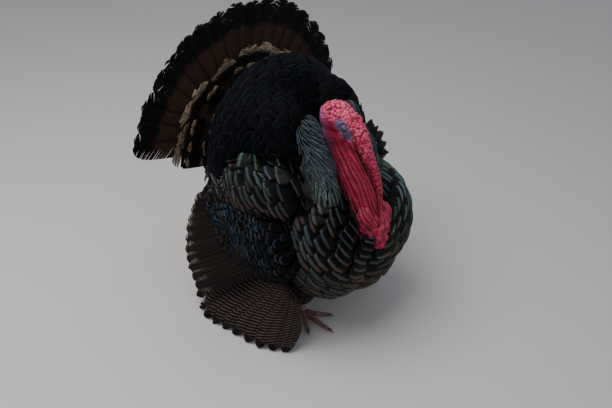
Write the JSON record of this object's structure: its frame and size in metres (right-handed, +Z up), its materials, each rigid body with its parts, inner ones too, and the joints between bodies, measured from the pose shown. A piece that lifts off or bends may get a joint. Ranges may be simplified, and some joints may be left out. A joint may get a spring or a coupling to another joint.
{
  "type": "wild turkey",
  "caption": "Life-size still model of a displaying tom turkey: fanned tail, drooped wings, bare red head and neck with snood",
  "frame": {"origin": "centre of the footprint box, on the floor", "axes": "+Z up, the bird faces -Y, its left side is +X"},
  "size_m": [0.7374, 0.618, 0.8175],
  "materials": {
    "dark_feather": "iridescent black feather with bronze, green and blue sheen",
    "brown_feather": "dark brown quill feather with fine bars",
    "barred_feather": "brown feather barred and tipped with buff white",
    "bare_skin": "wrinkled, granular bare skin",
    "horn": "satin horn",
    "scaly_leg": "scaly pinkish brown skin",
    "eye": "wet dark brown"
  },
  "bodies": {
    "root": {"bill_lower": "horn", "bill_upper": "horn", "caruncles": "bare_skin", "claw_back_left": "horn", "claw_back_right": "horn", "claw_inner_left": "horn", "claw_inner_right": "horn", "claw_middle_left": "horn", "claw_middle_right": "horn", "claw_outer_left": "horn", "claw_outer_right": "horn", "eye_left": "eye", "eye_right": "eye", "head": "bare_skin", "mantle": "dark_feather", "neck": "bare_skin", "ruff_left": "dark_feather", "ruff_right": "dark_feather", "scapulars_left": "dark_feather", "scapulars_right": "dark_feather", "shank_left": "scaly_leg", "shank_right": "scaly_leg", "snood": "bare_skin", "spur_left": "horn", "spur_right": "horn", "tail_coverts_long": "barred_feather", "tail_coverts_short": "barred_feather", "tail_fan": "brown_feather", "tail_under": "barred_feather", "thigh_left": "dark_feather", "thigh_right": "dark_feather", "toe_back_left": "scaly_leg", "toe_back_right": "scaly_leg", "toe_inner_left": "scaly_leg", "toe_inner_right": "scaly_leg", "toe_middle_left": "scaly_leg", "toe_middle_right": "scaly_leg", "toe_outer_left": "scaly_leg", "toe_outer_right": "scaly_leg", "trunk": "dark_feather", "wing_coverts_left": "dark_feather", "wing_coverts_right": "dark_feather", "wing_primaries_left": "barred_feather", "wing_primaries_right": "barred_feather", "wing_secondaries_left": "brown_feather", "wing_secondaries_right": "brown_feather"}
  },
  "joints": []
}
